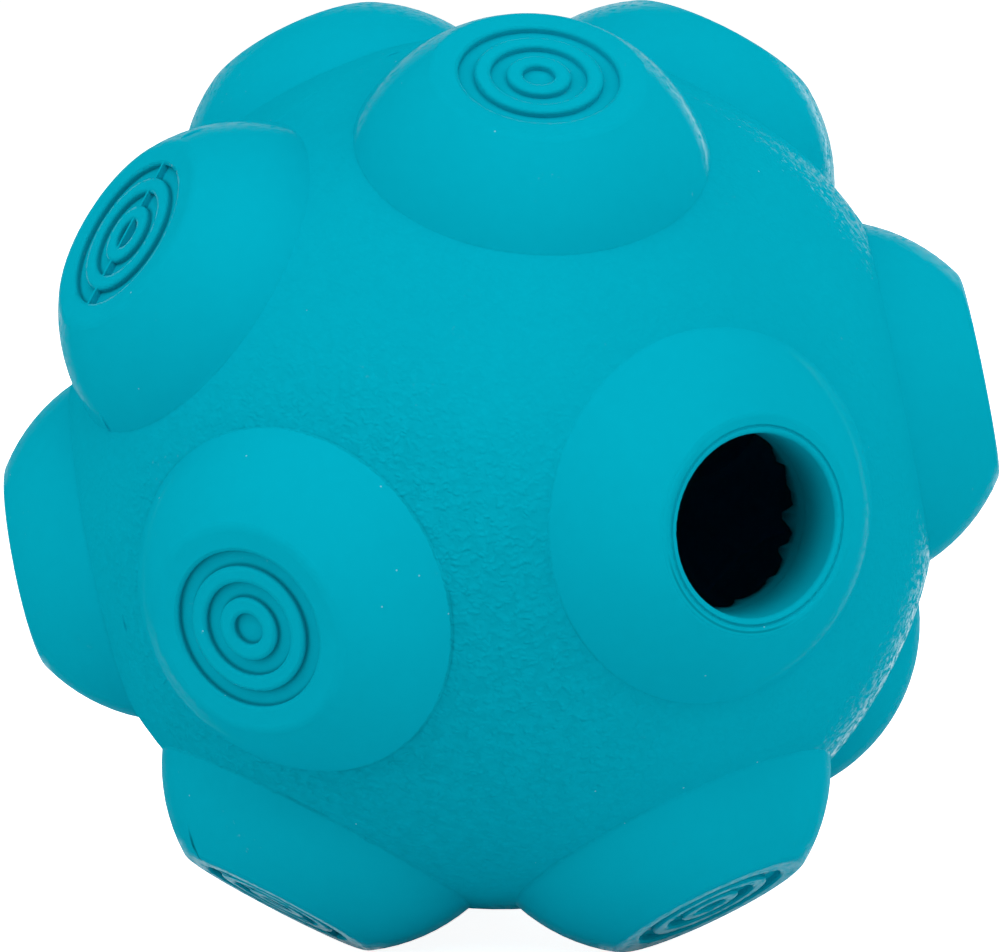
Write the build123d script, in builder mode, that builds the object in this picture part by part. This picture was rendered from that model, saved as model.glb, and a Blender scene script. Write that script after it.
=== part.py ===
from build123d import *
from math import atan2, cos, degrees, radians, sin, sqrt
import os

# A hollow rubber ball that lets out treats as it rolls. Domed knobs stand all round it, each with a flat
# face that has concentric rings pressed into it. The mouth knob has no rings: its face is the open end of
# the bore into the treat chamber. The ball is two half shells bonded at a seam square to the mouth axis.
# The origin is the ball's centre. The ball stands as it comes to rest, on three knobs, with +Z up, the
# mouth axis level and the mouth towards -Y. Lengths are in millimetres and angles in degrees.

# Ball, and the wall between its surface and the treat chamber, even all over
body_diameter = 80.8
wall = 5.8

# Knobs: one at each end of the mouth axis, a slanted ring of them on each half, and a ring on the seam
knob_height = 4.6
knob_base_diameter = 31.7
knob_face_diameter = 18.6
knob_edge_round = 1.5
knobs_around = 4
knob_tilt = 60.0

# Rings in a knob face: bands of equal width, sunk and standing in turn from a dimple at the centre
ring_bands = 5
ring_margin = 2.2
ring_depth = 0.62
ring_edge_round = 0.22

# Mouth: its knob is lower and wider than the others, its land lies between the bore and the edge of the
# face, and a fine parting line runs round it
mouth_diameter = 16.0
mouth_height = 4.0
mouth_base_diameter = 33.0
mouth_edge_round = 0.8
mouth_land = 1.6
mouth_lip_round = 0.35
mouth_line_offset = 0.65
mouth_line_width = 0.3

# Bond between the half shells, left as a thin web where it crosses the rings of the knobs on the seam
seam_thickness = 0.3

body_radius = body_diameter / 2
face_level = body_radius + knob_height
mouth_level = body_radius + mouth_height
mouth_radius = mouth_diameter / 2
mouth_face_diameter = mouth_diameter + 2 * mouth_land
ring_width = (knob_face_diameter / 2 - ring_margin) / ring_bands

# Forms of the ringed knobs and of the mouth knob: level and diameter of the face, base diameter, edge round
ringed_form = (face_level, knob_face_diameter, knob_base_diameter, knob_edge_round)
mouth_form = (mouth_level, mouth_face_diameter, mouth_base_diameter, mouth_edge_round)

# At rest a slanted knob of each half and one knob on the seam touch the table, with their domes level
knob_pitch = 360 / knobs_around
half_pitch = radians(knob_pitch / 2)
rest_turn = degrees(atan2(sin(radians(knob_tilt)) - cos(half_pitch), sin(half_pitch)))

# The moulding plane is the seam: its normal is the mouth axis, and turns about it count from straight down
moulding = Plane(origin=(0, 0, 0), x_dir=(0, 0, -1), z_dir=(0, -1, 0))
front_of_seam = moulding.offset(seam_thickness / 2)
rear_of_seam = moulding.offset(-seam_thickness / 2)


def knob_plane(tilt, turn):
    """Plane at the ball's centre whose normal is the axis of the knob with that tilt from the mouth axis."""
    return Plane(moulding.location * Rotation(0, 0, turn) * Rotation(0, tilt, 0))


def knob_ring(tilt, first_turn):
    """Planes of a ring of knobs, evenly spaced about the mouth axis."""
    return [knob_plane(tilt, first_turn + knob_pitch * i) for i in range(knobs_around)]


mouth_knob = knob_plane(0, 0)
rear_knob = knob_plane(180, 0)
front_slanted_knobs = knob_ring(knob_tilt, rest_turn)
rear_slanted_knobs = knob_ring(180 - knob_tilt, rest_turn)
seam_knobs = knob_ring(90, rest_turn - knob_pitch / 2)


def knob_axis(knob):
    """Axis of a knob, from the ball's centre outwards."""
    return Axis(knob.origin, knob.z_dir)


def section_plane(knob):
    """Plane through a knob's axis, which is the plane's own Y direction."""
    return Plane(knob.origin, x_dir=knob.x_dir, z_dir=-knob.y_dir)


def knob_section(knob, inset=0.0):
    """Half section of a knob's face, rounded edge and dome, all set in from the surface by the inset."""
    level, face_diameter, base_diameter, edge_round = mouth_form if knob is mouth_knob else ringed_form
    face_radius = face_diameter / 2
    base_level = sqrt(body_radius**2 - (base_diameter / 2) ** 2)
    dome_centre = (face_radius**2 + level**2 - body_radius**2) / (2 * (level - base_level))
    dome_radius = sqrt(face_radius**2 + (level - dome_centre) ** 2) - inset
    rise = level - inset - dome_centre
    edge = (sqrt(dome_radius**2 - rise**2), dome_centre + rise)
    with BuildSketch(section_plane(knob)) as section:
        with BuildLine():
            Polyline((dome_radius, dome_centre), (0, dome_centre), (0, dome_centre + rise), edge)
            CenterArc((0, dome_centre), dome_radius, 0, degrees(atan2(rise, edge[0])))
        make_face()
        fillet(section.vertices().group_by(Axis.Y)[-1].sort_by(Axis.X)[-1], edge_round)
    return section.sketch


def add_hollow_ball(knobs):
    """Adds a ball with these knobs to the part being built, and hollows it to an even wall."""
    with Locations(moulding):
        Sphere(body_radius)
    for knob in knobs:
        revolve(knob_section(knob), axis=knob_axis(knob))
    with Locations(moulding):
        Sphere(body_radius - wall, mode=Mode.SUBTRACT)
    for knob in knobs:
        revolve(knob_section(knob, wall), axis=knob_axis(knob), mode=Mode.SUBTRACT)


def press_rings(shell, knobs):
    """Sinks the dimple and the ring grooves into these knobs' faces, and rounds their upper edges."""
    with BuildSketch(*[knob.offset(face_level) for knob in knobs]) as rings:
        for band in range(ring_bands, 0, -1):
            Circle(band * ring_width, mode=Mode.ADD if band % 2 else Mode.SUBTRACT)
    extrude(rings.sketch, amount=-ring_depth, mode=Mode.SUBTRACT)
    fillet(outer_circles(shell), ring_edge_round)


def outer_circles(shell):
    """Circles of the last cut whose centres lie furthest from the ball's centre."""
    circles = shell.edges(Select.LAST).filter_by(GeomType.CIRCLE)
    return circles.group_by(lambda edge: edge.arc_center.length)[-1]


# Front half shell, with the mouth
with BuildPart() as front_half_shell:
    add_hollow_ball([mouth_knob, *front_slanted_knobs, *seam_knobs])
    press_rings(front_half_shell, front_slanted_knobs + seam_knobs)
    with Locations(mouth_knob.offset(mouth_level)):
        Hole(mouth_radius, depth=mouth_level)
    fillet(outer_circles(front_half_shell), mouth_lip_round)
    with BuildSketch(section_plane(mouth_knob)):
        with Locations((mouth_radius + mouth_line_offset, mouth_level)):
            Circle(mouth_line_width / 2)
    revolve(axis=knob_axis(mouth_knob), mode=Mode.SUBTRACT)
    split(bisect_by=front_of_seam, keep=Keep.TOP)

# Rear half shell, closed
with BuildPart() as rear_half_shell:
    add_hollow_ball([rear_knob, *rear_slanted_knobs, *seam_knobs])
    press_rings(rear_half_shell, [rear_knob, *rear_slanted_knobs, *seam_knobs])
    split(bisect_by=rear_of_seam, keep=Keep.BOTTOM)

# Seam bond, the thin layer between the rims of the half shells
with BuildPart() as seam_bond:
    add_hollow_ball(seam_knobs)
    split(bisect_by=front_of_seam, keep=Keep.BOTTOM)
    split(bisect_by=rear_of_seam, keep=Keep.TOP)

front_half_shell.part.label = "front_half_shell"
rear_half_shell.part.label = "rear_half_shell"
seam_bond.part.label = "seam_bond"

os.makedirs("parts", exist_ok=True)
export_step(front_half_shell.part, "parts/front_half_shell.step")
export_step(rear_half_shell.part, "parts/rear_half_shell.step")
export_step(seam_bond.part, "parts/seam_bond.step")
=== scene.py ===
"""Treat dispensing ball: a hollow moulded rubber ball with ringed knobs, dressed for a studio picture."""

import logging
import math
from dataclasses import dataclass
from enum import Enum
from typing import Any, ClassVar

import bmesh
import bpy
from mathutils import Matrix, Vector, noise


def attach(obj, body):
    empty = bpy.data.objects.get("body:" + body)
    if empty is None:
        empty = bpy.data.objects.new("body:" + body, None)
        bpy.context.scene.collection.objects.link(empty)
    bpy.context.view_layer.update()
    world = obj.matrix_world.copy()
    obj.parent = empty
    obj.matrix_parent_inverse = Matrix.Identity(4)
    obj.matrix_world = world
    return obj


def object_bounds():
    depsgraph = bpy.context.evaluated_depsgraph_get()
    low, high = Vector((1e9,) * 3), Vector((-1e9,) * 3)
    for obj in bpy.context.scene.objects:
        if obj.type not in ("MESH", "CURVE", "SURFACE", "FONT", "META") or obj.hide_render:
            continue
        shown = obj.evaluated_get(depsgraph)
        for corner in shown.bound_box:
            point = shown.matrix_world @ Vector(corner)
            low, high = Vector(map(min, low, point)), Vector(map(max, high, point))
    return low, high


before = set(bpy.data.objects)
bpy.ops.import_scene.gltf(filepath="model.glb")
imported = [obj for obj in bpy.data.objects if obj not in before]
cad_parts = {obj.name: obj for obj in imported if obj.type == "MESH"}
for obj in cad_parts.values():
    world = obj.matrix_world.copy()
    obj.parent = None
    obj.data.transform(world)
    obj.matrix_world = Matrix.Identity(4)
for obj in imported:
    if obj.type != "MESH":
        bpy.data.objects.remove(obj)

logging.basicConfig(level=logging.INFO, format="%(name)s: %(message)s")
log = logging.getLogger("treat_ball")

CAD_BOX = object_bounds()
MM = 0.001
BODY = "root"
Colour = tuple[float, float, float]
Range = tuple[float, float]
Profile = tuple[tuple[float, float], ...]
BLACK: Colour = (0.0, 0.0, 0.0)

# Sockets of a Mix node when it mixes colours.
MIX_FIRST, MIX_SECOND, MIX_RESULT = 6, 7, 2


class Sum(Enum):
    """Arithmetic of a Math node."""

    ADD = "ADD"
    SUBTRACT = "SUBTRACT"
    MULTIPLY = "MULTIPLY"
    DIVIDE = "DIVIDE"
    POWER = "POWER"
    LARGER = "MAXIMUM"
    SMALLER = "MINIMUM"
    FOLD = "PINGPONG"
    SIZE = "ABSOLUTE"


class Turn(Enum):
    """Arithmetic of a Vector Math node."""

    ADD = "ADD"
    SUBTRACT = "SUBTRACT"
    MULTIPLY = "MULTIPLY"
    SCALE = "SCALE"
    ABSOLUTE = "ABSOLUTE"
    LENGTH = "LENGTH"
    DOT = "DOT_PRODUCT"


class Slot(Enum):
    """Material slots of the ball."""

    SHELL = "shell_rubber"
    SEAM = "seam_rubber"


class Signal:
    """A value socket of a node tree. Arithmetic on it adds Math nodes."""

    def __init__(self, board: "NodeBoard", socket: bpy.types.NodeSocket) -> None:
        """Wraps a socket.

        Args:
            board: the board whose tree holds the socket.
            socket: an output socket.
        """
        self.board = board
        self.socket = socket

    def _math(self, operation: Sum, first: Any, second: Any) -> "Signal":
        """Adds a Math node.

        Args:
            operation: what the node works out.
            first: first operand, a signal or a number.
            second: second operand, a signal or a number.

        Returns:
            The node's result.
        """
        node = self.board.add("ShaderNodeMath", {"operation": operation.value}, {0: first, 1: second})
        return Signal(self.board, node.outputs[0])

    def __add__(self, other: Any) -> "Signal":
        """Sum."""
        return self._math(Sum.ADD, self, other)

    def __sub__(self, other: Any) -> "Signal":
        """Difference."""
        return self._math(Sum.SUBTRACT, self, other)

    def __rsub__(self, other: Any) -> "Signal":
        """Difference, reflected."""
        return self._math(Sum.SUBTRACT, other, self)

    def __mul__(self, other: Any) -> "Signal":
        """Product."""
        return self._math(Sum.MULTIPLY, self, other)

    def __truediv__(self, other: Any) -> "Signal":
        """Quotient."""
        return self._math(Sum.DIVIDE, self, other)

    def __pow__(self, other: Any) -> "Signal":
        """Power."""
        return self._math(Sum.POWER, self, other)

    def __abs__(self) -> "Signal":
        """Size without the sign."""
        return self._math(Sum.SIZE, self, 0.0)

    def at_least(self, other: Any) -> "Signal":
        """The larger of the two."""
        return self._math(Sum.LARGER, self, other)

    def at_most(self, other: Any) -> "Signal":
        """The smaller of the two."""
        return self._math(Sum.SMALLER, self, other)

    def fold(self, span: float) -> "Signal":
        """Distance to the nearest multiple of twice the span."""
        return self._math(Sum.FOLD, self, span)

    def ramp(self, low: float, high: float) -> "Signal":
        """Soft step.

        Args:
            low: value below which the result is 0.
            high: value above which the result is 1.

        Returns:
            A signal from 0 to 1.
        """
        settings = {"interpolation_type": "SMOOTHSTEP", "clamp": True}
        values = {"Value": self, "From Min": low, "From Max": high}
        return Signal(self.board, self.board.add("ShaderNodeMapRange", settings, values).outputs[0])


class NodeBoard:
    """Node tree that is filled from expressions."""

    def __init__(self, tree: bpy.types.NodeTree) -> None:
        """Takes over a tree and empties it.

        Args:
            tree: tree of a material or of the world.
        """
        self.tree = tree
        self.tree.nodes.clear()

    def add(self, kind: str, settings: dict[str, Any], values: dict[str | int, Any]) -> bpy.types.Node:
        """Adds any node.

        Args:
            kind: Blender's type of the node.
            settings: attributes of the node, which are set first.
            values: numbers, colours or links of its input sockets.

        Returns:
            The new node.
        """
        node = self.tree.nodes.new(kind)
        for name, setting in settings.items():
            setattr(node, name, setting)
        for key, value in values.items():
            if isinstance(value, Signal):
                value = value.socket
            if isinstance(value, bpy.types.NodeSocket):
                self.tree.links.new(value, node.inputs[key])
            else:
                node.inputs[key].default_value = value
        return node

    def signal(self, node: bpy.types.Node, output: str | int = 0) -> Signal:
        """Wraps an output of a node."""
        return Signal(self, node.outputs[output])

    def vector(self, operation: Turn, first: Any, second: Any = (0.0, 0.0, 0.0), scale: Any = 1.0) -> Any:
        """Adds a Vector Math node.

        Args:
            operation: what the node works out.
            first: first vector or its socket.
            second: second vector or its socket.
            scale: factor for SCALE.

        Returns:
            A signal where the result is a number, and otherwise the vector's socket.
        """
        values: dict[str | int, Any] = {0: first}
        if operation is Turn.SCALE:
            values["Scale"] = scale
        elif operation not in (Turn.LENGTH, Turn.ABSOLUTE):
            values[1] = second
        node = self.add("ShaderNodeVectorMath", {"operation": operation.value}, values)
        if operation in (Turn.LENGTH, Turn.DOT):
            return Signal(self, node.outputs["Value"])
        return node.outputs["Vector"]

    def mix(self, factor: Any, first: Any, second: Any) -> bpy.types.NodeSocket:
        """Mixes two colours.

        Args:
            factor: share of the second colour.
            first: colour of three numbers, or its socket.
            second: colour of three numbers, or its socket.

        Returns:
            The mixed colour's socket.
        """
        first, second = ((*c, 1.0) if isinstance(c, tuple) else c for c in (first, second))
        values = {0: factor, MIX_FIRST: first, MIX_SECOND: second}
        return self.add("ShaderNodeMix", {"data_type": "RGBA"}, values).outputs[MIX_RESULT]


@dataclass(frozen=True)
class Mould:
    """Sizes of the mould that the looks follow, in millimetres.

    Attributes:
        body_radius: radius of the grained sphere.
        rest_turn: turn of the knobs about the mouth axis, in degrees.
        knob_tilt: tilt of the slanted knobs from the mouth axis, in degrees.
        face_level: distance of a ringed face from the ball's centre.
        ring_width: width of a band of the rings.
        ring_start: distances from a knob's axis between which the first wall of the rings comes in.
        ring_end: distances from a knob's axis between which the rings end.
        foot_level: distance along its axis at which a knob meets the body.
        mouth_level: distance of the mouth's face from the ball's centre.
        bore_radius: radius of the bore.
        crispest: direction from the ball's centre in which the mould is worn least.
    """

    body_radius: float = 40.4
    rest_turn: float = 12.6665
    knob_tilt: float = 60.0
    face_level: float = 45.0
    ring_width: float = 1.42
    ring_start: Range = (0.6, 1.0)
    ring_end: Range = (7.3, 7.5)
    foot_level: float = 37.16
    mouth_level: float = 44.4
    bore_radius: float = 8.0
    crispest: tuple[float, float, float] = (-0.721, -0.583, -0.374)


MOULD = Mould()


@dataclass(frozen=True)
class Spot:
    """Where a place on the ball lies, also seen from the nearest knob. Lengths are in millimetres.

    Attributes:
        place: the place itself, from the ball's centre.
        x: its first coordinate, to the right of the mouth.
        y: its second coordinate, away from the mouth.
        z: its third coordinate, upwards.
        height: height above the sphere of the body.
        level: distance from the ball's centre along the axis of the nearest knob.
        reach: distance from that axis.
        crisp: how near it lies to where the mould is worn least: 1 there, and less elsewhere.
    """

    place: bpy.types.NodeSocket
    x: Signal
    y: Signal
    z: Signal
    height: Signal
    level: Signal
    reach: Signal
    crisp: Signal

    @classmethod
    def find(cls, board: NodeBoard) -> "Spot":
        """Folds the ball onto one eighth of itself, where four knobs are left, and takes the nearest.

        Args:
            board: board of the material.

        Returns:
            The signals of the place that is shaded.
        """
        local = board.add("ShaderNodeTexCoord", {}, {}).outputs["Object"]
        place = board.vector(Turn.SCALE, local, scale=1 / MM)
        rotation = (0.0, math.radians(MOULD.rest_turn), 0.0)
        turned = board.add("ShaderNodeMapping", {}, {"Vector": place, "Rotation": rotation})
        folded = board.vector(Turn.ABSOLUTE, turned.outputs[0])
        tilt = math.radians(MOULD.knob_tilt)
        along, across = math.cos(tilt), math.sin(tilt)
        level = board.vector(Turn.DOT, folded, (0.0, 1.0, 0.0))
        for axis in ((across, along, 0.0), (0.0, along, across), (math.sqrt(0.5), 0.0, math.sqrt(0.5))):
            level = level.at_least(board.vector(Turn.DOT, folded, axis))
        radius = board.vector(Turn.LENGTH, place)
        reach = (radius * radius - level * level).at_least(0.0) ** 0.5
        split = board.add("ShaderNodeSeparateXYZ", {}, {0: place})
        axes = (board.signal(split, name) for name in "XYZ")
        crisp = board.vector(Turn.DOT, place, MOULD.crispest) / MOULD.body_radius
        return cls(place, *axes, radius - MOULD.body_radius, level, reach, crisp)

    def near_face(self, deep: float, shallow: float) -> Signal:
        """Rises from 0 at one drop below the faces of the knobs to 1 at a shallower one."""
        return self.level.ramp(MOULD.face_level - deep, MOULD.face_level - shallow)

    def ring_wall(self, width: float) -> Signal:
        """1 at the walls of the rings, and 0 from this far away from them and off the rings."""
        wall = 1 - self.reach.fold(MOULD.ring_width / 2).ramp(0.0, width)
        return wall * self.reach.ramp(*MOULD.ring_start) * (1 - self.reach.ramp(*MOULD.ring_end))


@dataclass(frozen=True)
class Mottle:
    """Soft patches of noise.

    Attributes:
        scale: how many patches there are to a millimetre.
        detail: how many finer layers lie over them.
        step: values of the noise between which a patch begins, or None for the noise as it is.
    """

    scale: float
    detail: float
    step: Range | None = None

    def node(self, board: NodeBoard, place: Any) -> bpy.types.Node:
        """Adds the node of the patches."""
        values = {"Vector": place, "Scale": self.scale, "Detail": self.detail}
        return board.add("ShaderNodeTexNoise", {}, values)

    def at(self, board: NodeBoard, place: Any) -> Signal:
        """Value of the patches at a place, from 0 to 1."""
        value = board.signal(self.node(board, place))
        return value.ramp(*self.step) if self.step else value


@dataclass(frozen=True)
class Grain:
    """Leather-like grain of the mould between the knobs.

    Attributes:
        cells_per_mm: how many pebbles of the grain there are to a millimetre.
        flat: how many times longer the pebbles are than they are high.
        pull: patches that pull the pebbles out of shape.
        warp: how far they pull, in millimetres.
        softness: how softly a pebble runs into the next.
        slope: distances from its middle between which a pebble falls to the crease, as shares of a pebble.
        swell: patches in which the grain swells.
        pebble_rise: height of a pebble.
        swell_rise: height of a swell.
        depth: depth of a crease where the grain has strength 1, in millimetres.
        crease_shade: how much darker the creases of the grain are painted, as painted shade.
        worn: strength of the grain where the mould is worn most.
        half_worn: nearness to the crispest part between which the grain gains a little.
        half_worn_gain: how much it gains there.
        crisp: nearness to the crispest part between which it gains the most.
        crisp_gain: how much it gains there.
        wear: patches of wear.
        wear_least: share of the strength that the most worn patches keep.
        wear_spread: how much more the least worn patches keep.
    """

    cells_per_mm: float = 1.5
    flat: float = 1.3
    pull: Mottle = Mottle(0.8, 2.0)
    warp: float = 0.5
    softness: float = 0.3
    slope: Range = (0.1, 0.62)
    swell: Mottle = Mottle(0.9, 1.0, (0.3, 0.7))
    pebble_rise: float = 0.6
    swell_rise: float = 0.6
    depth: float = 0.036
    crease_shade: float = 0.03
    worn: float = 0.55
    half_worn: Range = (0.05, 0.6)
    half_worn_gain: float = 0.2
    crisp: Range = (0.65, 0.95)
    crisp_gain: float = 2.85
    wear: Mottle = Mottle(0.12, 1.0)
    wear_least: float = 0.75
    wear_spread: float = 0.5

    def strength(self, board: NodeBoard, spot: Spot) -> Signal:
        """How strong the grain is: about 3.6 where the mould is crisp, and below 1 where it is worn."""
        wear = self.wear.at(board, spot.place) * self.wear_spread + self.wear_least
        gain = spot.crisp.ramp(*self.half_worn) * self.half_worn_gain
        gain = gain + spot.crisp.ramp(*self.crisp) * self.crisp_gain
        return (gain + self.worn) * wear

    def pebble(self, board: NodeBoard, place: Any) -> Signal:
        """Height of the grain: highest on swollen pebbles, and 0 in the creases between them."""
        drift = self.pull.node(board, place).outputs["Color"]
        drift = board.vector(Turn.SUBTRACT, drift, (0.5, 0.5, 0.5))
        warped = board.vector(Turn.ADD, place, board.vector(Turn.SCALE, drift, scale=2 * self.warp))
        warped = board.vector(Turn.MULTIPLY, warped, (1.0, 1.0, self.flat))
        values = {"Vector": warped, "Scale": self.cells_per_mm, "Smoothness": self.softness}
        cells = board.add("ShaderNodeTexVoronoi", {"feature": "SMOOTH_F1"}, values)
        pebble = 1 - board.signal(cells).ramp(*self.slope)
        return pebble * self.pebble_rise + self.swell.at(board, warped) * self.swell_rise


@dataclass(frozen=True)
class Gloss:
    """Gloss at grazing angles, nearly whole on the knobs and broken into flecks by the grain.

    Attributes:
        weight: strength of the gloss.
        blur: how blurred it is.
        edge: how far the surface is turned away where the gloss starts, and where it is full.
        lift: how much sooner it starts at the top of the ball, off the grain.
        side: places from left to right between which the rubber is more and more rubbed.
        height: heights between which the gloss grows, in millimetres.
        fleck: patches that break it up.
        knob_fleck: values of those patches between which a knob gets its gloss.
        body_fleck: values of those patches between which the body gets its gloss.
        knob_low: gloss of a knob at the bottom of the ball.
        knob_gain: how much more a knob at the top has.
        least_rubbed: share that a knob has at the left.
        face: gloss of the flat faces.
        face_drop: drops below the faces between which they begin.
        body: gloss of the body.
    """

    weight: float = 0.26
    blur: float = 0.12
    edge: Range = (0.7, 0.92)
    lift: float = 0.07
    side: Range = (-10.0, 14.0)
    height: Range = (-15.0, 42.0)
    fleck: Mottle = Mottle(1.7, 3.0)
    knob_fleck: Range = (0.34, 0.56)
    body_fleck: Range = (0.47, 0.58)
    knob_low: float = 0.3
    knob_gain: float = 1.8
    least_rubbed: float = 0.5
    face: float = 1.1
    face_drop: Range = (1.2, 0.7)
    body: float = 1.9

    def at(self, board: NodeBoard, spot: Spot, on_body: Signal, normal: bpy.types.NodeSocket) -> Signal:
        """Weighs the gloss at a place.

        Args:
            board: board of the material.
            spot: place on the ball.
            on_body: mask of the body.
            normal: normal with the grain in it.

        Returns:
            Weight of the gloss.
        """
        rubbed = spot.x.ramp(*self.side)
        high = spot.z.ramp(*self.height)
        facing = board.signal(board.add("ShaderNodeLayerWeight", {}, {"Normal": normal}), "Facing")
        edge = (facing + high * (1 - on_body) * self.lift).ramp(*self.edge)
        fleck = self.fleck.at(board, spot.place)
        dome = high * self.knob_gain + self.knob_low
        dome = dome * (rubbed * (1 - self.least_rubbed) + self.least_rubbed)
        knob = fleck.ramp(*self.knob_fleck) * (dome + spot.near_face(*self.face_drop) * (self.face - dome))
        body = fleck.ramp(*self.body_fleck) * rubbed * self.body
        return edge * (knob + on_body * (body - knob)) * self.weight


@dataclass(frozen=True)
class Dust:
    """Pale specks of dust, and scuffs where the rubber was rubbed.

    Attributes:
        colour: colour of both.
        specks_per_mm: how close together the specks lie.
        speck: distances from its middle between which a speck ends, as shares of the room it has.
        speck_cover: how much a speck covers.
        rubbed: patches in which there are scuffs.
        scuff: the scuffs.
        scuff_cover: how much a scuff covers.
    """

    colour: Colour = (0.36, 0.66, 0.72)
    specks_per_mm: float = 0.29
    speck: Range = (0.014, 0.03)
    speck_cover: float = 0.6
    rubbed: Mottle = Mottle(0.11, 1.0, (0.62, 0.72))
    scuff: Mottle = Mottle(1.9, 4.0, (0.64, 0.8))
    scuff_cover: float = 0.12

    def at(self, board: NodeBoard, place: Any) -> Signal:
        """How much of the rubber the dust covers at a place."""
        cells = board.add("ShaderNodeTexVoronoi", {}, {"Vector": place, "Scale": self.specks_per_mm})
        speck = 1 - board.signal(cells, "Distance").ramp(*self.speck)
        scuff = self.scuff.at(board, place) * self.rubbed.at(board, place)
        return (speck * self.speck_cover).at_least(scuff * self.scuff_cover)


@dataclass(frozen=True)
class PaintedShade:
    """Painted shade that darkens some part of the rubber. Lengths are in millimetres.

    Attributes:
        darkness: how much darker the rubber is where it is thickest.
    """

    darkness: float

    def at(self, board: NodeBoard, spot: Spot) -> Signal:
        """How thick it is at a place: 0 for none."""
        raise NotImplementedError


@dataclass(frozen=True)
class BoreShade(PaintedShade):
    """Shade down the bore, from the lip to the torn inner end.

    Attributes:
        wall: distances past the bore's wall between which it ends.
        depth: depths below the mouth's face between which it grows.
        end: depths between which it ends, across the hollow of the ball.
    """

    darkness: float = 0.55
    wall: Range = (0.05, 0.5)
    depth: Range = (0.2, 6.5)
    end: Range = (14.0, 16.0)

    def at(self, board: NodeBoard, spot: Spot) -> Signal:
        """How thick it is at a place: 0 for none."""
        around = board.vector(Turn.LENGTH, board.vector(Turn.MULTIPLY, spot.place, (1.0, 0.0, 1.0)))
        near, far = (MOULD.bore_radius + gap for gap in self.wall)
        depth = spot.y + MOULD.mouth_level
        return (1 - around.ramp(near, far)) * depth.ramp(*self.depth) * (1 - depth.ramp(*self.end))


@dataclass(frozen=True)
class RingShade(PaintedShade):
    """Painted shade in the corners of the rings, strongest on the left and fading towards the right.

    Attributes:
        width: how far it reaches from a ring's wall.
        floor: drops below the face between which it begins.
        top: drops below the face between which it ends.
        side: places from left to right between which it fades.
    """

    darkness: float = 0.32
    width: float = 0.34
    floor: Range = (0.8, 0.7)
    top: Range = (0.5, 0.1)
    side: Range = (-38.0, 5.0)

    def at(self, board: NodeBoard, spot: Spot) -> Signal:
        """How thick it is at a place: 0 for none."""
        sunk = spot.near_face(*self.floor) * (1 - spot.near_face(*self.top))
        return spot.ring_wall(self.width) * sunk * (1 - spot.x.ramp(*self.side))


@dataclass(frozen=True)
class FootShade(PaintedShade):
    """Broken line of painted shade in the crease where a knob stands on the body, clearest where the mould is
    crisp.

    Attributes:
        risen: heights above the body between which a knob begins.
        on_knob: heights between which the line ends on the knob.
        beside: drops below the knob's foot between which it begins on the body.
        outside: heights between which the outside of the ball begins.
        away: distances from the knob's axis between which it begins.
        broken: patches that break the line.
        crisp: nearness to the crispest part of the mould between which it grows.
        crisp_gain: how much it grows there.
        worn: how thick it is elsewhere.
    """

    darkness: float = 0.05
    risen: Range = (0.0, 0.03)
    on_knob: Range = (0.05, 0.22)
    beside: Range = (0.1, 0.02)
    outside: Range = (-0.2, -0.1)
    away: Range = (10.0, 12.0)
    broken: Mottle = Mottle(0.16, 3.0, (0.35, 0.65))
    crisp: Range = (0.72, 0.95)
    crisp_gain: float = 2.2
    worn: float = 0.8

    def at(self, board: NodeBoard, spot: Spot) -> Signal:
        """How thick it is at a place: 0 for none."""
        risen = spot.height.ramp(*self.risen)
        on_knob = risen * (1 - spot.height.ramp(*self.on_knob))
        start, full = (MOULD.foot_level - drop for drop in self.beside)
        beside = (1 - risen) * spot.level.ramp(start, full)
        outside = spot.height.ramp(*self.outside) * spot.reach.ramp(*self.away)
        crisp = spot.crisp.ramp(*self.crisp) * self.crisp_gain + self.worn
        return (on_knob + beside) * outside * self.broken.at(board, spot.place) * crisp


@dataclass(frozen=True)
class LipShade(PaintedShade):
    """Painted shade in the mouth's parting line, and in the crease outside it where the land was pressed up.

    Attributes:
        line: radius of the parting line.
        crease: radius of the crease.
        width: distances from their middle between which both end.
        toward: angle round the mouth at which the crease is deepest, in degrees.
        side: places towards that angle between which it grows.
        drop: drops below the mouth's face between which the soil ends.
        line_least: how thick it is in the line away from the crease.
        line_gain: how much thicker it is beside the crease.
    """

    darkness: float = 0.34
    line: float = 8.65
    crease: float = 9.17
    width: Range = (0.04, 0.17)
    toward: float = -118.0
    side: Range = (5.2, 7.6)
    drop: Range = (0.6, 0.8)
    line_least: float = 0.25
    line_gain: float = 0.35

    def at(self, board: NodeBoard, spot: Spot) -> Signal:
        """How thick it is at a place: 0 for none."""
        turn = math.radians(self.toward)
        side = (spot.x * math.cos(turn) + spot.z * math.sin(turn)).ramp(*self.side)
        shallow, deep = (drop - MOULD.mouth_level for drop in self.drop)
        front = 1 - spot.y.ramp(shallow, deep)
        line, crease = (1 - abs(spot.reach - radius).ramp(*self.width) for radius in (self.line, self.crease))
        return (crease * side + line * (side * self.line_gain + self.line_least)) * front


@dataclass(frozen=True)
class RimShade(PaintedShade):
    """Painted shadow in front of the seam's flash, from the rims of the two low knobs of the seam some way
    down.

    Attributes:
        ahead: how far in front of the seam it lies.
        width: distances from its middle between which it ends.
        low: heights between which it ends.
        start: distances from the knob's axis between which it begins.
        end: distances from the knob's axis between which it ends.
    """

    darkness: float = 0.45
    ahead: float = 0.26
    width: Range = (0.08, 0.2)
    low: Range = (-24.0, -18.0)
    start: Range = (8.6, 9.0)
    end: Range = (10.6, 12.2)

    def at(self, board: NodeBoard, spot: Spot) -> Signal:
        """How thick it is at a place: 0 for none."""
        line = 1 - abs(spot.y + self.ahead).ramp(*self.width)
        low = 1 - spot.z.ramp(*self.low)
        return line * low * spot.reach.ramp(*self.start) * (1 - spot.reach.ramp(*self.end))


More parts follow.
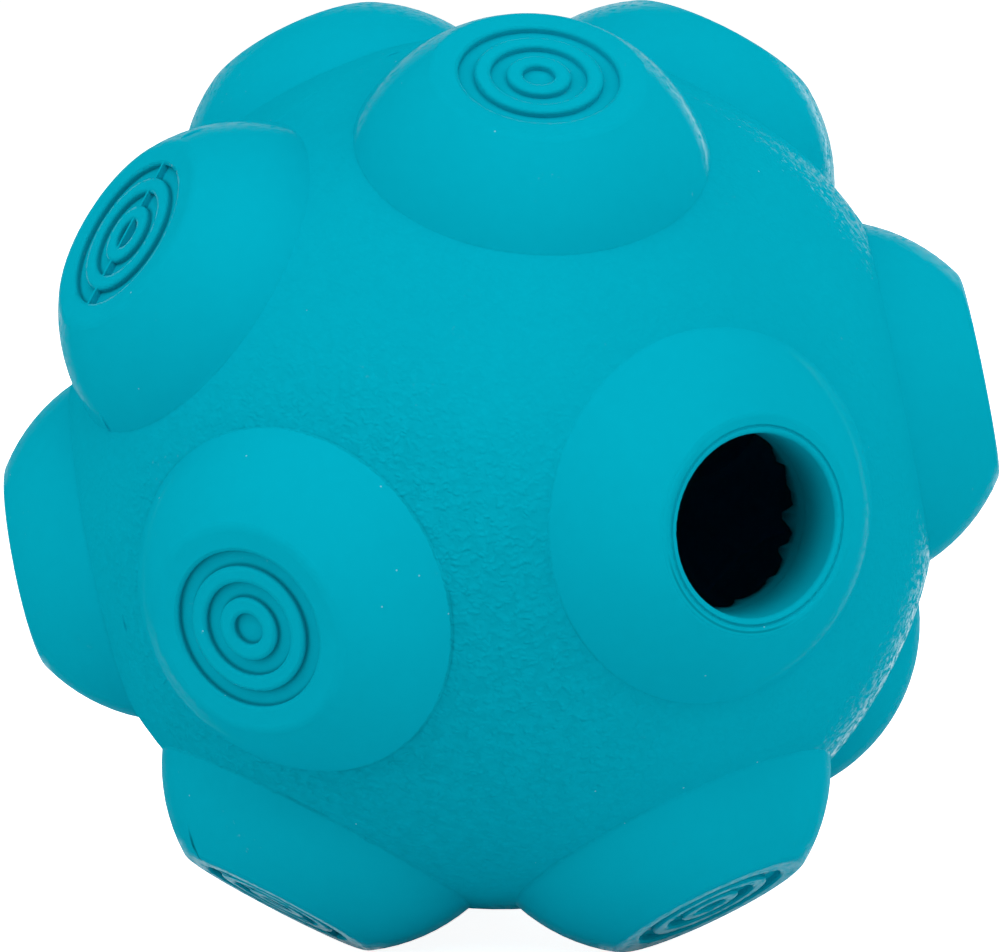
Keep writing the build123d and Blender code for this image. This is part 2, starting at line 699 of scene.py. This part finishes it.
@dataclass(frozen=True)
class RubberFinish:
    """Dyed natural rubber, grained on the body and smooth on the knobs.

    Attributes:
        name: name of the material.
        dye: colour of the rubber.
        shade: darker colour that it drifts to.
        broad_drift: broad patches of the drift.
        close_drift: close patches of the drift.
        broad_share: share of the broad patches in the drift.
        drift_step: values of the drift between which the colour goes over to the shade.
        grain: grain of the body.
        gloss: gloss of the skin.
        dust: dust and scuffs on it.
        painted_shades: painted shade in its creases and corners, and down the bore.
        body_edge: heights above the sphere of the body between which the grain ends.
        inner_edge: heights below it between which the inside ends.
        ragged: patches that make the grain's edge ragged.
        ragged_reach: how far they move the edge in height.
        fine: finest unevenness of the skin.
        fine_share: share of it in the grain.
        fine_depth: depth of it elsewhere.
        uneven: slow unevenness of the skin.
        uneven_depth: depth of it.
        dull: patches that are duller.
        roughness: least roughness.
        dull_roughness: how much rougher the duller patches are.
        grain_roughness: how much rougher the grain is.
        land_edge: width of the rounded edges of the bands that stand between the rings.
        land_drop: drops below the face between which these edges begin.
        land_round: how far the edges are rounded off.

    Lengths are in millimetres.
    """

    name: str = "moulded_rubber"
    dye: Colour = (0.0006, 0.397, 0.526)
    shade: Colour = (0.0006, 0.382, 0.509)
    broad_drift: Mottle = Mottle(0.07, 2.0)
    close_drift: Mottle = Mottle(0.9, 3.0)
    broad_share: float = 0.6
    drift_step: Range = (0.3, 0.7)
    grain: Grain = Grain()
    gloss: Gloss = Gloss()
    dust: Dust = Dust()
    # Painted shade in the bore, in the corners of the rings, at the knobs' feet, in the mouth's creases and
    # in front of the seam's flash.
    painted_shades: tuple[PaintedShade, ...] = (BoreShade(), RingShade(), FootShade(), LipShade(), RimShade())
    body_edge: Range = (0.04, 0.2)
    inner_edge: Range = (-0.4, -0.2)
    ragged: Mottle = Mottle(1.6, 2.0)
    ragged_reach: float = 0.24
    fine: Mottle = Mottle(3.2, 2.0)
    fine_share: float = 0.15
    fine_depth: float = 0.004
    uneven: Mottle = Mottle(0.5, 2.0)
    uneven_depth: float = 0.018
    dull: Mottle = Mottle(0.6, 3.0)
    roughness: float = 0.4
    dull_roughness: float = 0.2
    grain_roughness: float = 0.1
    land_edge: float = 0.42
    land_drop: Range = (0.3, 0.2)
    land_round: float = 0.1

    def material(self) -> bpy.types.Material:
        """Builds the material.

        Returns:
            The finished material.
        """
        material = bpy.data.materials.new(self.name)
        material.use_nodes = True
        board = NodeBoard(material.node_tree)
        spot = Spot.find(board)
        on_body = self._on_body(board, spot)
        strength = self.grain.strength(board, spot) * on_body
        pebble = self.grain.pebble(board, spot.place)
        height = self._height(board, spot, pebble, strength)
        bump = board.add("ShaderNodeBump", {}, {"Height": height, "Distance": MM})
        rough = self.dull.at(board, spot.place) * self.dull_roughness
        values = {
            "Base Color": self._colour(board, spot, (1 - pebble) * strength),
            "Roughness": rough + on_body * self.grain_roughness + self.roughness,
            "Normal": bump.outputs[0],
            "Coat Weight": self.gloss.at(board, spot, on_body, bump.outputs[0]),
            "Coat Roughness": self.gloss.blur,
            "Specular IOR Level": 0.0,
        }
        shader = board.add("ShaderNodeBsdfPrincipled", {}, values)
        board.add("ShaderNodeOutputMaterial", {}, {"Surface": shader.outputs[0]})
        return material

    def _on_body(self, board: NodeBoard, spot: Spot) -> Signal:
        """Mask of the body between the knobs: 1 there, and 0 on knobs and inside."""
        ragged = self.ragged.at(board, spot.place) * self.ragged_reach - self.ragged_reach / 2
        return (1 - (spot.height + ragged).ramp(*self.body_edge)) * spot.height.ramp(*self.inner_edge)

    def _height(self, board: NodeBoard, spot: Spot, pebble: Signal, strength: Signal) -> Signal:
        """Height of the skin: its grain, the rounded edges between the rings and some unevenness.

        Args:
            board: board of the material.
            spot: place on the ball.
            pebble: height of the grain.
            strength: strength of the grain.

        Returns:
            The height, in millimetres.
        """
        fine = self.fine.at(board, spot.place)
        height = (pebble + fine * self.fine_share) * strength * self.grain.depth
        height = height - spot.ring_wall(self.land_edge) * spot.near_face(*self.land_drop) * self.land_round
        return height + self.uneven.at(board, spot.place) * self.uneven_depth + fine * self.fine_depth

    def _colour(self, board: NodeBoard, spot: Spot, crease: Signal) -> bpy.types.NodeSocket:
        """Dye with a slow drift, painted darker in creases, corners and down the bore as painted shade, with
        pale specks and scuffs.

        Args:
            board: board of the material.
            spot: place on the ball.
            crease: mask of the creases of the grain.

        Returns:
            The colour's socket.
        """
        drift = self.broad_drift.at(board, spot.place) * self.broad_share
        drift = drift + self.close_drift.at(board, spot.place) * (1 - self.broad_share)
        colour = board.mix(drift.ramp(*self.drift_step), self.dye, self.shade)
        # Painted shade: the creases of the grain, and each painted shade after them, darken the dye.
        dark = crease * self.grain.crease_shade
        # Each painted shade darkens the colour where shade falls.
        for shade_mark in self.painted_shades:
            dark = dark + shade_mark.at(board, spot) * shade_mark.darkness
        colour = board.mix(dark.at_most(1.0), colour, BLACK)
        return board.mix(self.dust.at(board, spot.place), colour, self.dust.colour)


@dataclass
class BallShell:
    """The two half shells of the ball and the bond between them, as the frame has them.

    Attributes:
        shells: nodes of the shells.
        bond: node of the bond.
    """

    shells: tuple[str, ...] = ("front_half_shell", "rear_half_shell")
    bond: str = "seam_bond"

    def dress(self, rubber: bpy.types.Material) -> None:
        """Gives the nodes their material.

        Args:
            rubber: the rubber of the ball.
        """
        for name, slot in [*((n, Slot.SHELL) for n in self.shells), (self.bond, Slot.SEAM)]:
            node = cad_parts[name]
            node.data.materials.clear()
            node.data.materials.append(rubber)
            log.info("dressed %s", name)


class Moulding:
    """A small piece of left-over rubber, modelled in edit mode and set on the ball.

    Attributes:
        WELD: distance up to which points are joined, in millimetres.
    """

    WELD = 0.001

    def __init__(self, piece: bpy.types.Object) -> None:
        """Takes a new primitive, applies its place and opens it for editing.

        Args:
            piece: primitive that was just added.
        """
        self.piece = piece
        bpy.ops.object.transform_apply(location=True, rotation=True, scale=True)
        bpy.ops.object.mode_set(mode="EDIT")
        bpy.ops.mesh.select_mode(type="VERT")
        bpy.ops.mesh.select_all(action="SELECT")

    @classmethod
    def ring(cls, name: str, radius: float, level: float, points: int) -> "Moulding":
        """Starts from a circle round the mouth axis.

        Args:
            name: name of the piece.
            radius: radius of the circle, in millimetres.
            level: its distance from the ball's centre towards the mouth, in millimetres.
            points: how many points it has.

        Returns:
            The moulding, with all of the circle selected.
        """
        bpy.ops.object.select_all(action="DESELECT")
        bpy.ops.mesh.primitive_circle_add(
            vertices=points,
            radius=radius * MM,
            location=(0.0, -level * MM, 0.0),
            rotation=(math.pi / 2, 0.0, 0.0),
        )
        piece = bpy.context.active_object
        piece.name = name
        return cls(piece)

    def step(self, old: tuple[float, float], new: tuple[float, float]) -> None:
        """Extrudes the selected circle to another radius and level, both in millimetres."""
        bpy.ops.mesh.extrude_region_move(TRANSFORM_OT_translate={"value": (0.0, (old[1] - new[1]) * MM, 0.0)})
        grow = new[0] / old[0]
        bpy.ops.transform.resize(value=(grow, 1.0, grow), center_override=(0.0, 0.0, 0.0))

    def chosen(self) -> list[int]:
        """Numbers of the selected vertices."""
        return [v.index for v in bmesh.from_edit_mesh(self.piece.data).verts if v.select]

    def at(self, index: int) -> Vector:
        """Place of a vertex, in millimetres."""
        mesh = bmesh.from_edit_mesh(self.piece.data)
        mesh.verts.ensure_lookup_table()
        return mesh.verts[index].co / MM

    def select(self, indices: list[int]) -> None:
        """Selects these vertices and no others."""
        bpy.ops.mesh.select_all(action="DESELECT")
        mesh = bmesh.from_edit_mesh(self.piece.data)
        mesh.verts.ensure_lookup_table()
        for index in indices:
            mesh.verts[index].select_set(True)
        mesh.select_flush(True)
        bmesh.update_edit_mesh(self.piece.data)

    def pull(self, indices: list[int], shift: Vector) -> None:
        """Moves these vertices by a shift in millimetres."""
        self.select(indices)
        bpy.ops.transform.translate(value=shift * MM)

    def finish(self, smooth: float = 40.0) -> bpy.types.Object:
        """Turns the faces outwards, leaves edit mode and smooths the shading.

        Args:
            smooth: angle up to which edges look smooth, in degrees.

        Returns:
            The piece.
        """
        bpy.ops.mesh.select_all(action="SELECT")
        bpy.ops.mesh.remove_doubles(threshold=self.WELD * MM)
        bpy.ops.mesh.normals_make_consistent(inside=False)
        bpy.ops.object.mode_set(mode="OBJECT")
        bpy.ops.object.shade_smooth_by_angle(angle=math.radians(smooth))
        return self.piece

    def apply(self, kind: str, **settings: Any) -> None:
        """Adds a modifier with these settings and applies it."""
        modifier = self.piece.modifiers.new(kind.lower(), kind)
        for name, setting in settings.items():
            setattr(modifier, name, setting)
        bpy.ops.object.modifier_apply(modifier=modifier.name)


def settle(piece: bpy.types.Object, rubber: bpy.types.Material) -> None:
    """Gives a piece its rubber and sets it on the ball.

    Args:
        piece: finished piece.
        rubber: its material.
    """
    piece.data.materials.append(rubber)
    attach(piece, BODY)
    log.info("built %s with %d faces", piece.name, len(piece.data.polygons))


def between(points: Profile, where: float) -> float | None:
    """Value on the straight lines from point to point.

    Args:
        points: places in rising order, each with its value.
        where: place that is asked for.

    Returns:
        The value, or None past the ends.
    """
    for (first, near), (last, far) in zip(points, points[1:]):
        if first <= where <= last:
            return near + (far - near) * (where - first) / (last - first)
    return None


def stray(angle: float, pace: float, seed: float) -> float:
    """Smooth noise from -1 to 1 along an angle, which changes at a pace."""
    return noise.noise(Vector((angle * pace, seed, 0.0)))


@dataclass
class ThroatFlash:
    """Thin skin that the core left at the inner end of the bore, torn ragged when the core was pulled.

    Attributes:
        root: depth below the face at which the skin comes out of the bore's wall.
        bite: how deep its root lies in the wall.
        rise: length over which it comes out.
        clear: how far it stands off the wall.
        rows: depths below the face of its last two rows of points, of which the last is torn.
        skin: thickness of the skin.
        lean: how far a long tear curls inwards.
        long: length of such a tear.
        points: how many points there are round the tear.
        tears: depth of the torn edge below the face, by the angle round the bore in degrees, where it shows.
        far_tear: mean depth of the edge elsewhere.
        far_stray: pace, seed and reach with which it strays from that.
        strays: pace, seed and reach of the finer tears all round.

    Lengths are in millimetres.
    """

    root: float = 5.0
    bite: float = 0.02
    rise: float = 0.2
    clear: float = 0.015
    rows: Range = (5.95, 6.05)
    skin: float = 0.4
    lean: float = 0.2
    long: float = 2.0
    points: int = 360
    tears: Profile = (
        (-87, 6.9), (-84, 6.4), (-79, 6.6), (-76, 6.9), (-73, 7.6), (-69, 7.0), (-61, 6.6), (-51, 6.7),
        (-47, 7.0), (-43, 6.3), (-33, 6.6), (-28, 7.6), (-25, 7.8), (-21, 6.9), (-15, 6.6), (-11, 7.2),
        (-7, 8.2), (-3, 8.3), (1, 7.3), (3, 6.8), (6, 7.0), (11, 6.9), (17, 7.3), (23, 7.0), (31, 6.4),
        (33, 7.3), (41, 6.9), (47, 6.3), (53, 6.1), (63, 6.3),
    )
    far_tear: float = 6.8
    far_stray: tuple[float, float, float] = (0.1, 1.3, 0.9)
    strays: tuple[tuple[float, float, float], ...] = ((0.35, 3.7, 0.14), (0.9, 8.1, 0.08))

    def build(self, rubber: bpy.types.Material) -> bpy.types.Object:
        """Models the skin.

        Args:
            rubber: its material.

        Returns:
            The piece.
        """
        lining = MOULD.bore_radius - self.clear
        depths = (self.root + self.rise, *self.rows)
        rings = [(MOULD.bore_radius + self.bite, self.root), *((lining, depth) for depth in depths)]
        rings = [(radius, MOULD.mouth_level - depth) for radius, depth in rings]
        moulding = Moulding.ring("throat_flash", *rings[0], self.points)
        for old, new in zip(rings, rings[1:]):
            moulding.step(old, new)
        for index in moulding.chosen():
            place = moulding.at(index)
            out = Vector((place.x, 0.0, place.z)).normalized()
            drop = self._tear(math.degrees(math.atan2(place.z, place.x))) - (MOULD.mouth_level + place.y)
            moulding.pull([index], Vector((0.0, drop, 0.0)) - out * self.lean * (drop / self.long) ** 2)
        piece = moulding.finish(smooth=60.0)
        moulding.apply("SOLIDIFY", thickness=self.skin * MM, offset=1.0)
        settle(piece, rubber)
        return piece

    def _tear(self, angle: float) -> float:
        """Depth of the torn edge at an angle."""
        angle = (angle + 90.0) % 360.0 - 90.0
        depth = between(self.tears, angle)
        if depth is None:
            pace, seed, reach = self.far_stray
            depth = self.far_tear + reach * stray(angle, pace, seed)
        return depth + sum(reach * stray(angle, pace, seed) for pace, seed, reach in self.strays)


@dataclass
class LipRoll:
    """Low roll of rubber round the mouth's land, fullest at the lower left, where the mould's plate lifted.

    Attributes:
        section: radius and drop below the face of the roll's corners, from its inner edge outwards.
        points: how many points there are round it.
        fullest: angle round the mouth at which it is fullest, in degrees.
        reach: how far round it stays full, in degrees.
        fade: how much further round it goes down, in degrees.
        sunk: how far the rest lies lower.

    Lengths are in millimetres.
    """

    section: Profile = (
        (8.86, 0.2), (8.89, 0.02), (9.02, -0.07), (9.25, -0.1),
        (9.48, -0.06), (9.62, 0.06), (9.67, 0.3), (9.2, 0.6),
    )
    points: int = 72
    fullest: float = -128.0
    reach: float = 75.0
    fade: float = 60.0
    sunk: float = 0.18

    def build(self, rubber: bpy.types.Material) -> bpy.types.Object:
        """Models the roll.

        Args:
            rubber: its material.

        Returns:
            The piece.
        """
        corners = [(radius, MOULD.mouth_level - drop) for radius, drop in self.section]
        moulding = Moulding.ring("lip_roll", *corners[0], self.points)
        first = moulding.chosen()
        for old, new in zip(corners, corners[1:]):
            moulding.step(old, new)
        moulding.select(first + moulding.chosen())
        bpy.ops.mesh.bridge_edge_loops()
        columns: dict[int, list[int]] = {}
        for index in range(len(self.section) * self.points):
            place = moulding.at(index)
            turned = math.degrees(math.atan2(place.z, place.x))
            columns.setdefault(round(turned * self.points / 360), []).append(index)
        for column, indices in columns.items():
            moulding.pull(indices, Vector((0.0, self._lower(column * 360 / self.points), 0.0)))
        piece = moulding.finish(smooth=80.0)
        moulding.apply("SUBSURF", levels=2, render_levels=2)
        settle(piece, rubber)
        return piece

    def _lower(self, angle: float) -> float:
        """How far the roll lies lower at an angle."""
        away = abs((angle - self.fullest + 180.0) % 360.0 - 180.0)
        share = min(max((away - self.reach) / self.fade, 0.0), 1.0)
        return self.sunk * share * share * (3 - 2 * share)


@dataclass
class SeamFlash:
    """Fine ridge that the mould squeezed out along the seam, over the body or over a knob of the seam.

    Attributes:
        QUARTERS: how many times the seam repeats round the ball.
        name: name of the ridges, before their numbers.
        first: angle in the seam at which the first ridge starts, in degrees.
        span: angle that it goes round, in degrees.
        crest: height of the ridge, by the share of the way along it.
        radius: radius of the surface that it lies on.
        centre: distance of that surface's centre from the ball's centre.
        toward: angle in the seam at which the centre lies, in degrees.
        width: width of the ridge at its foot.
        foot: how deep the foot lies in the surface.
        crest_from: how far above its foot a point belongs to the crest.
        pitch: angle from one step along it to the next, in degrees.
        sides: how many sides its section has.

    Lengths are in millimetres.
    """

    QUARTERS: ClassVar[int] = 4

    name: str
    first: float
    span: float
    crest: Profile
    radius: float = MOULD.body_radius
    centre: float = 0.0
    toward: float = 0.0
    width: float = 0.42
    foot: float = 0.19
    crest_from: float = 0.05
    pitch: float = 0.3
    sides: int = 8

    def build(self, rubber: bpy.types.Material) -> list[bpy.types.Object]:
        """Models one ridge and copies it to the other three quarters of the seam.

        Args:
            rubber: its material.

        Returns:
            The four ridges.
        """
        bpy.ops.object.select_all(action="DESELECT")
        place = self._middle() + self._out(self.first) * (self.radius - self.foot)
        bpy.ops.mesh.primitive_circle_add(
            vertices=self.sides,
            radius=self.width / 2 * MM,
            location=place * MM,
            rotation=(0.0, math.radians(-self.first), 0.0),
        )
        bpy.context.active_object.name = f"{self.name}_1"
        moulding = Moulding(bpy.context.active_object)
        start = moulding.chosen()
        bpy.ops.mesh.spin(
            steps=self._steps(),
            angle=math.radians(self.span),
            center=self._middle() * MM,
            axis=(0.0, 1.0, 0.0),
        )
        bpy.ops.mesh.edge_face_add()
        moulding.select(start)
        bpy.ops.mesh.edge_face_add()
        self._raise_crest(moulding)
        ridges = [moulding.finish()]
        for turn in range(1, self.QUARTERS):
            ridge = ridges[0].copy()
            ridge.data = ridge.data.copy()
            ridge.name = f"{self.name}_{turn + 1}"
            ridge.data.transform(Matrix.Rotation(math.tau / self.QUARTERS * turn, 4, "Y"))
            bpy.context.scene.collection.objects.link(ridge)
            ridges.append(ridge)
        for ridge in ridges:
            settle(ridge, rubber)
        return ridges

    def _out(self, angle: float) -> Vector:
        """Direction at an angle in the seam."""
        return Vector((math.cos(math.radians(angle)), 0.0, math.sin(math.radians(angle))))

    def _middle(self) -> Vector:
        """Centre of the arc."""
        return self._out(self.toward) * self.centre

    def _steps(self) -> int:
        """How many steps there are along the ridge."""
        return round(abs(self.span) / self.pitch)

    def _raise_crest(self, moulding: Moulding) -> None:
        """Raises the crest step by step along the ridge."""
        columns: dict[int, list[int]] = {}
        for index in range((self._steps() + 1) * self.sides):
            out = moulding.at(index) - self._middle()
            if out.length > self.radius - self.foot + self.crest_from:
                turned = math.degrees(math.atan2(out.z, out.x)) - self.first
                share = ((turned + 180.0) % 360.0 - 180.0) / self.span
                columns.setdefault(round(share * self._steps()), []).append(index)
        for column, indices in columns.items():
            out = sum((moulding.at(index) - self._middle() for index in indices), Vector()).normalized()
            moulding.pull(indices, out * between(self.crest, column / self._steps()))


# Heights of the flash over the body, at a knob's rim and at its foot, by the share of the way along it.
BODY_CREST: Profile = (
    (0.0, 0.05), (0.03, 0.03), (0.1, 0.0), (0.2, 0.02), (0.32, -0.03), (0.45, 0.0), (0.53, 0.0),
    (0.55, 0.12), (0.575, 0.15), (0.59, 0.0), (0.72, -0.03), (0.84, 0.0), (0.95, 0.02), (1.0, 0.05),
)
RIM_CREST: Profile = ((0.0, 0.04), (0.2, 0.14), (0.5, 0.08), (0.8, 0.0), (1.0, -0.08))
FOOT_CREST: Profile = ((0.0, -0.08), (0.4, 0.02), (0.7, 0.16), (0.9, 0.16), (1.0, 0.0))

# Dome of the first knob of the seam.
KNOB_DOME = {"radius": 17.17, "centre": 30.57, "toward": 147.67}

FLASHES = (
    SeamFlash("seam_flash", first=170.2, span=45.0, crest=BODY_CREST),
    SeamFlash("rim_flash", first=112.2, span=-11.0, crest=RIM_CREST, **KNOB_DOME),
    SeamFlash("foot_flash", first=205.2, span=10.0, crest=FOOT_CREST, **KNOB_DOME),
)


@dataclass
class ViewCamera:
    """Camera where the photographer stood.

    Attributes:
        place: place of the camera, in millimetres.
        right: direction to the right of the picture.
        up: direction to the top of the picture.
        sensor: width of the sensor, in millimetres.
        lens: focal length for that sensor, in millimetres.
        shift: shift of the picture.
        clip: nearest and farthest distance that shows, in metres.
    """

    place: tuple[float, float, float] = (-254.436, -448.092, 66.267)
    right: tuple[float, float, float] = (0.86887, -0.49493, -0.01059)
    up: tuple[float, float, float] = (0.07227, 0.10564, 0.99178)
    sensor: float = 36.0
    lens: float = 202.254
    shift: Range = (-0.00124, -0.00467)
    clip: Range = (0.01, 20.0)

    def build(self) -> bpy.types.Object:
        """Makes the camera and sets it as the scene's.

        Returns:
            The camera.
        """
        data = bpy.data.cameras.new("photo_view")
        data.sensor_fit = "HORIZONTAL"
        data.sensor_width = self.sensor
        data.lens = self.lens
        data.shift_x, data.shift_y = self.shift
        data.clip_start, data.clip_end = self.clip
        camera = bpy.data.objects.new("photo_view", data)
        right = Vector(self.right).normalized()
        back = right.cross(Vector(self.up)).normalized()
        turn = Matrix((right, back.cross(right), back)).transposed()
        camera.matrix_world = Matrix.Translation(Vector(self.place) * MM) @ turn.to_4x4()
        bpy.context.scene.collection.objects.link(camera)
        bpy.context.scene.camera = camera
        return camera


@dataclass(frozen=True)
class Softbox:
    """A square softbox that faces the ball.

    Attributes:
        name: name of the lamp.
        azimuth: where it stands round the ball, in degrees from straight in front of the mouth.
        elevation: height above the horizon, in degrees.
        power: power, in watts.
        side: side of the square, in metres.
        distance: distance from the ball, in metres.
    """

    name: str
    azimuth: float
    elevation: float
    power: float
    side: float = 0.8
    distance: float = 1.1

    def build(self) -> bpy.types.Object:
        """Makes the lamp.

        Returns:
            The lamp, which faces the ball.
        """
        data = bpy.data.lights.new(self.name, "AREA")
        data.shape = "SQUARE"
        data.size = self.side
        data.energy = self.power
        lamp = bpy.data.objects.new(self.name, data)
        around, above = math.radians(self.azimuth), math.radians(self.elevation)
        level = Vector((math.sin(around), -math.cos(around), 0.0))
        out = level * math.cos(above) + Vector((0.0, 0.0, math.sin(above)))
        lamp.location = out * self.distance
        lamp.rotation_euler = (-out).to_track_quat("-Z", "Y").to_euler()
        lamp.visible_camera = False
        bpy.context.scene.collection.objects.link(lamp)
        return lamp


@dataclass
class Studio:
    """Pale floor and soft light from all round.

    Attributes:
        floor_level: height of the floor, in metres.
        floor_reach: half the side of the floor, in metres.
        floor_colour: grey of the floor's paper.
        floor_lift: how much brighter the floor looks to the camera, so that its paper is white.
        ambient: strength of the even light.
        softboxes: the lamps.
    """

    floor_level: float
    floor_reach: float = 6.0
    floor_colour: float = 0.9
    floor_lift: float = 0.92
    ambient: float = 0.096
    softboxes: tuple[Softbox, ...] = (
        Softbox("overhead_softbox", 0.0, 88.0, 2.8),
        Softbox("left_softbox", -90.0, 30.0, 5.0),
        Softbox("right_softbox", 28.0, 29.0, 4.5),
        Softbox("front_softbox", -30.0, 48.0, 3.85),
        Softbox("right_rim_softbox", 105.0, 18.0, 4.2),
        Softbox("left_rim_softbox", -160.0, 20.0, 1.1),
    )

    def build(self) -> None:
        """Makes the floor, the lamps and the world."""
        self._floor()
        for softbox in self.softboxes:
            softbox.build()
        self._world()
        bpy.context.scene.view_settings.view_transform = "Standard"

    def _seen(self, board: NodeBoard) -> Signal:
        """1 for a ray from the camera or in a gloss, which sees the white studio, and 0 for light."""
        path = board.add("ShaderNodeLightPath", {}, {})
        seen = board.signal(path, "Is Camera Ray").at_least(board.signal(path, "Is Glossy Ray"))
        return seen.at_least(board.signal(path, "Is Transmission Ray"))

    def _floor(self) -> None:
        """Large pale floor, which the camera sees as white apart from the ball's shadow."""
        bpy.ops.object.select_all(action="DESELECT")
        bpy.ops.mesh.primitive_plane_add(size=2 * self.floor_reach, location=(0.0, 0.0, self.floor_level))
        floor = bpy.context.active_object
        floor.name = "studio_floor"
        material = bpy.data.materials.new("studio_paper")
        material.use_nodes = True
        board = NodeBoard(material.node_tree)
        paper = board.add("ShaderNodeBsdfDiffuse", {}, {"Color": (*(self.floor_colour,) * 3, 1.0)})
        lift = board.add("ShaderNodeEmission", {}, {"Strength": self._seen(board) * self.floor_lift})
        both = board.add("ShaderNodeAddShader", {}, {0: paper.outputs[0], 1: lift.outputs[0]})
        board.add("ShaderNodeOutputMaterial", {}, {"Surface": both.outputs[0]})
        floor.data.materials.append(material)

    def _world(self) -> None:
        """Even light from all round, and white where the camera or a gloss sees past the floor."""
        world = bpy.data.worlds.new("studio_world")
        bpy.context.scene.world = world
        world.use_nodes = True
        board = NodeBoard(world.node_tree)
        strength = self._seen(board) * (1.0 - self.ambient) + self.ambient
        light = board.add("ShaderNodeBackground", {}, {"Color": (1.0, 1.0, 1.0, 1.0), "Strength": strength})
        board.add("ShaderNodeOutputWorld", {}, {"Surface": light.outputs[0]})


def main() -> None:
    """Builds the pieces in order and reports each one."""
    rubber = RubberFinish().material()
    BallShell().dress(rubber)
    ThroatFlash().build(rubber)
    LipRoll().build(rubber)
    for flash in FLASHES:
        flash.build(rubber)
    ViewCamera().build()
    Studio(floor_level=CAD_BOX[0].z).build()


if __name__ == "__main__":
    main()
